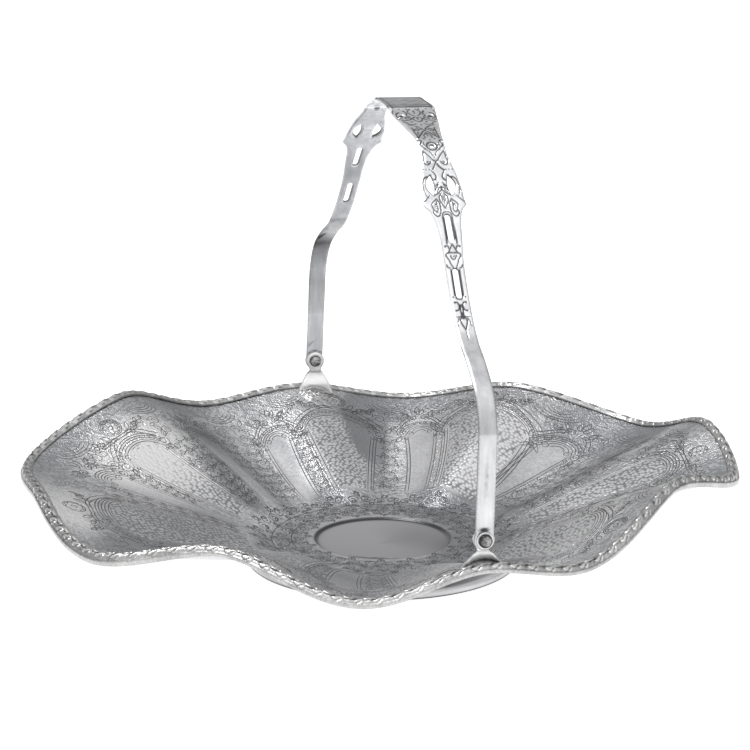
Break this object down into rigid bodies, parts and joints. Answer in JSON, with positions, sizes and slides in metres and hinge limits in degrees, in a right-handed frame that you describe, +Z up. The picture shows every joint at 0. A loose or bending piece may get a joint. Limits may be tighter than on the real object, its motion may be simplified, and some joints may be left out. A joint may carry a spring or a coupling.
{
  "type": "handled basket",
  "caption": "Silver-plated handled basket: a fluted, ruffle-edged dish with a leaf-and-scroll border on a spreading foot, and a pierced strap handle that swings on riveted lugs.",
  "frame": {"origin": "middle of the underside of the foot, which is also the middle of the dish's length and width at the table", "axes": "+X along the longer way of the dish, +Y towards the back lug and along the handle's rivets, +Z up"},
  "size_m": [0.3052, 0.2912, 0.1991],
  "materials": {
    "dish_silver": "tarnished silver plate over brass, chased and matted",
    "border_silver": "silver plate over brass, rubbed bright on its relief",
    "foot_silver": "silver plate over brass, plain and lightly tarnished",
    "handle_silver": "silver plate over brass, polished, dark in its engraving",
    "lug_silver": "silver plate over brass, worn, with rough solder",
    "rivet_metal": "tarnished plated rivet"
  },
  "bodies": {
    "basket": {"bowl": "dish_silver", "rim_border": "border_silver", "foot_ring": "foot_silver", "lug_back": "lug_silver", "lug_front": "lug_silver", "washer_back": "rivet_metal", "washer_front": "rivet_metal", "rivet_back": "rivet_metal", "rivet_front": "rivet_metal"},
    "handle": {"handle": "handle_silver"}
  },
  "joints": [
    {"name": "handle_swing", "type": "hinge", "parent": "basket", "child": "handle", "pos_m": [0.0038, 0, 0.0511], "axis": [0, 1, 0], "range_deg": [-85, 82]}
  ]
}
